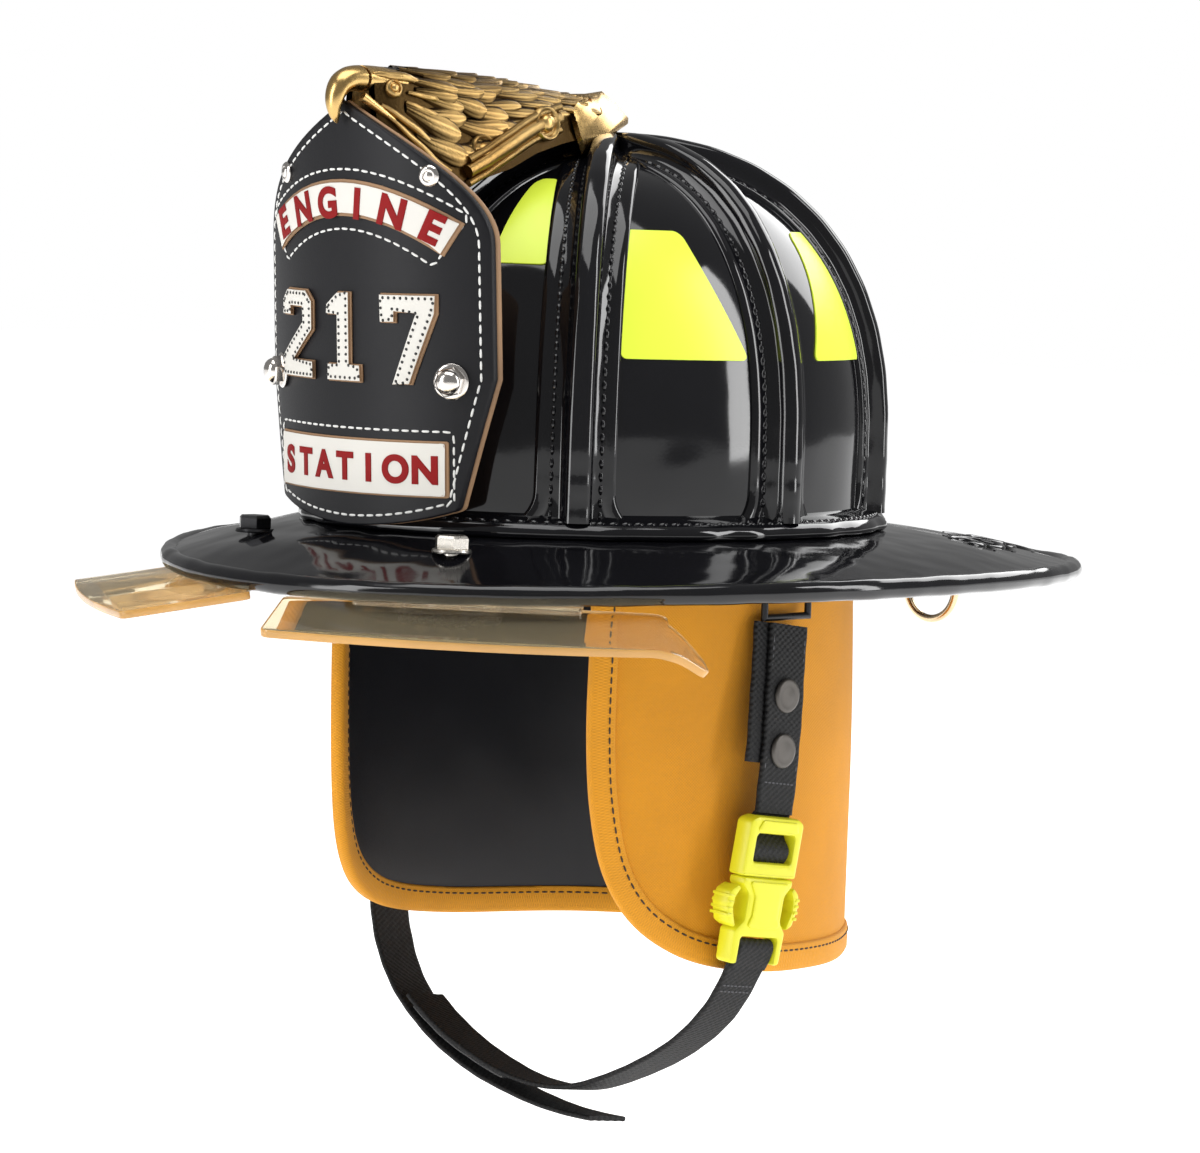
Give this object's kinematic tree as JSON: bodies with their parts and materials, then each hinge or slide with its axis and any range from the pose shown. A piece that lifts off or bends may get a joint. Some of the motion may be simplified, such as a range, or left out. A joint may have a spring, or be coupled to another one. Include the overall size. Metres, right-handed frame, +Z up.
{
  "type": "firefighter helmet",
  "caption": "Traditional leather firefighter helmet with a front shield, eagle-head shield holder, flip-down eyeshields, earlap cape and chin strap with quick-release buckle.",
  "frame": {"origin": "centre of the head opening, in the plane where the crown meets the brim", "axes": "+Z up through the crown, -Y towards the front shield, +X to the wearer's left"},
  "size_m": [0.3358, 0.4278, 0.3858],
  "materials": {
    "black_shell_leather": "thick gloss enamel",
    "shield_leather": "satin, fine grain",
    "tan_leather": "natural cut edge",
    "white_leather": "smooth, tan cut edges",
    "steel": "bright zinc and nickel plate",
    "brass": "antiqued with polished high spots",
    "lime_reflective": "fluorescent reflective film",
    "amber_lens": "clear amber, gloss",
    "clear_polymer": "clear",
    "black_polymer": "moulded, satin",
    "cap_foam": "thermoplastic skin over rigid foam",
    "black_webbing": "woven",
    "brow_padding": "brushed cloth",
    "gold_cloth": "plain weave",
    "black_lining": "smooth quilted lining",
    "grey_snap": "dark plated",
    "lime_polymer": "moulded, satin"
  },
  "bodies": {
    "shell": {"brim": "black_shell_leather", "brim_bolts": "steel", "brim_nuts": "steel", "brim_rolled_edge": "black_shell_leather", "brow_pad": "brow_padding", "buckle_upper": "lime_polymer", "comb_front": "black_shell_leather", "comb_front_left": "black_shell_leather", "comb_front_right": "black_shell_leather", "comb_left": "black_shell_leather", "comb_rear": "black_shell_leather", "comb_rear_left": "black_shell_leather", "comb_rear_right": "black_shell_leather", "comb_right": "black_shell_leather", "crown_base_welt": "black_shell_leather", "crown_panel_front_left": "black_shell_leather", "crown_panel_front_right": "black_shell_leather", "crown_panel_left_front": "black_shell_leather", "crown_panel_left_rear": "black_shell_leather", "crown_panel_rear_left": "black_shell_leather", "crown_panel_rear_right": "black_shell_leather", "crown_panel_right_front": "black_shell_leather", "crown_panel_right_rear": "black_shell_leather", "crown_straps": "black_webbing", "eagle_holder": "brass", "earlap_binding": "gold_cloth", "earlap_lining": "black_lining", "earlap_outer": "gold_cloth", "eyeshield_brackets": "steel", "eyeshield_hinge_pins": "steel", "front_shield": "shield_leather", "headband": "black_polymer", "impact_cap": "cap_foam", "left_upper_strap": "black_webbing", "ratchet_housing": "black_polymer", "rear_ring_clip": "brass", "reflective_trims": "lime_reflective", "shield_acorn_nuts": "steel", "shield_backing": "tan_leather", "shield_bottom_panel": "white_leather", "shield_numerals": "white_leather", "shield_rivets": "steel", "shield_screws": "steel", "shield_top_panel": "white_leather", "strap_hangers": "steel", "strap_snaps": "grey_snap", "suspension_keys": "black_polymer"},
    "left_eyeshield": {"lens_left": "amber_lens", "lens_strip_left": "clear_polymer"},
    "right_eyeshield": {"lens_right": "amber_lens", "lens_strip_right": "clear_polymer"},
    "ratchet_knob": {"ratchet_knob": "black_polymer"},
    "headband_tail_left": {"headband_tail_left": "black_polymer"},
    "headband_tail_right": {"headband_tail_right": "black_polymer"},
    "chin_strap": {"buckle_lower": "lime_polymer", "chin_strap_left": "black_webbing", "chin_strap_right": "black_webbing"},
    "buckle_arm_front": {"buckle_arm_front": "lime_polymer"},
    "buckle_arm_rear": {"buckle_arm_rear": "lime_polymer"},
    "rear_ring": {"rear_ring": "brass"}
  },
  "joints": [
    {"name": "left_eyeshield_flip", "type": "hinge", "parent": "shell", "child": "left_eyeshield", "pos_m": [0.06075, -0.12631, -0.022], "axis": [0.8271, 0.5621, 0], "range_deg": [0, 62]},
    {"name": "right_eyeshield_flip", "type": "hinge", "parent": "shell", "child": "right_eyeshield", "pos_m": [-0.06075, -0.12631, -0.022], "axis": [0.8271, -0.5621, 0], "range_deg": [0, 62]},
    {"name": "ratchet_turn", "type": "hinge", "parent": "shell", "child": "ratchet_knob", "pos_m": [0, 0.1, -0.024], "axis": [0, 1, 0], "range_deg": [-125, 125]},
    {"name": "left_tail_feed", "type": "hinge", "parent": "shell", "child": "headband_tail_left", "pos_m": [0, 0.028, -0.024], "axis": [0, 0, 1], "range_deg": [-11, 11]},
    {"name": "right_tail_feed", "type": "hinge", "parent": "shell", "child": "headband_tail_right", "pos_m": [0, 0.028, -0.024], "axis": [0, 0, 1], "range_deg": [-11, 11]},
    {"name": "buckle_release", "type": "slide", "parent": "shell", "child": "chin_strap", "axis": [-0.0647, -0.1337, -0.9889], "range_m": [0, 0.024]},
    {"name": "latch_front_squeeze", "type": "hinge", "parent": "chin_strap", "child": "buckle_arm_front", "pos_m": [0.09538, -0.02493, -0.13842], "axis": [-0.9979, 0.0087, 0.0641], "range_deg": [0, 6], "stiffness_Nm_per_rad": 0.05},
    {"name": "latch_rear_squeeze", "type": "hinge", "parent": "chin_strap", "child": "buckle_arm_rear", "pos_m": [0.09538, 0.004, -0.14233], "axis": [0.9979, -0.0087, -0.0641], "range_deg": [0, 6], "stiffness_Nm_per_rad": 0.05},
    {"name": "ring_swing", "type": "hinge", "parent": "shell", "child": "rear_ring", "pos_m": [0, 0.202, -0.0215], "axis": [1, 0, 0], "range_deg": [-65, 65]}
  ],
  "couplings": [
    {"joint": "left_tail_feed", "follows": "ratchet_turn", "ratio": -0.0841},
    {"joint": "right_tail_feed", "follows": "ratchet_turn", "ratio": 0.0841},
    {"joint": "latch_rear_squeeze", "follows": "latch_front_squeeze", "ratio": 1}
  ]
}
